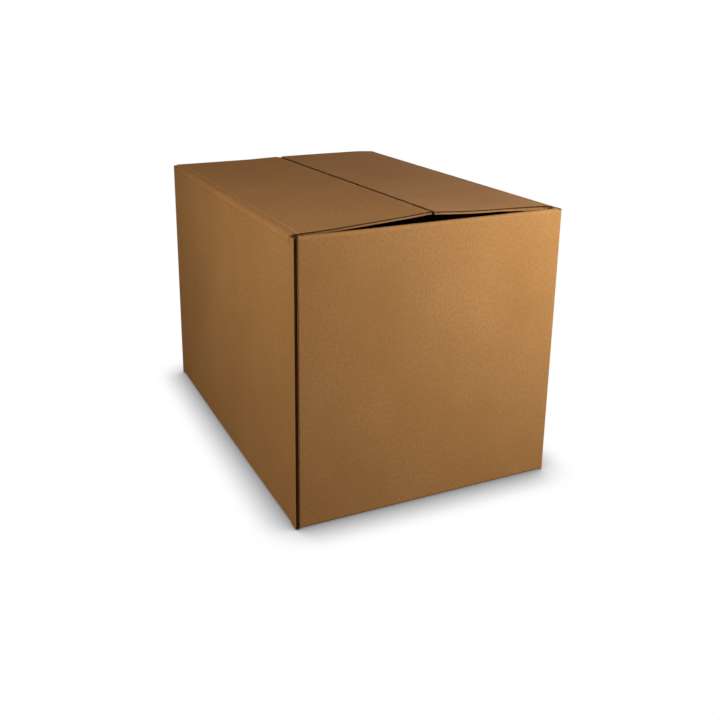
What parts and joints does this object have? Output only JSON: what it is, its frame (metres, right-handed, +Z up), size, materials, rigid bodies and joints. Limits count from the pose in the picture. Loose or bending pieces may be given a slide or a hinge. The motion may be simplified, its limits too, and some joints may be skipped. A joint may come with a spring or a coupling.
{
  "type": "shipping box",
  "caption": "Slotted shipping carton of plain brown double-wall corrugated board, closed but untaped, with outer top flaps that swing open over drooping inner flaps.",
  "frame": {"origin": "on the floor under the middle of the box", "axes": "+X across the 430 mm front to the right, +Y back along the 620 mm length, +Z up"},
  "size_m": [0.43, 0.62, 0.441],
  "materials": {
    "kraft_board": "matte"
  },
  "bodies": {
    "carton": {"carton_body": "kraft_board"},
    "left_flap": {"left_top_flap": "kraft_board"},
    "right_flap": {"right_top_flap": "kraft_board"}
  },
  "joints": [
    {"name": "left_flap_crease", "type": "hinge", "parent": "carton", "child": "left_flap", "pos_m": [-0.215, 0, 0.43], "axis": [0, -1, 0], "range_deg": [0, 260]},
    {"name": "right_flap_crease", "type": "hinge", "parent": "carton", "child": "right_flap", "pos_m": [0.215, 0, 0.43], "axis": [0, 1, 0], "range_deg": [0, 260]}
  ]
}
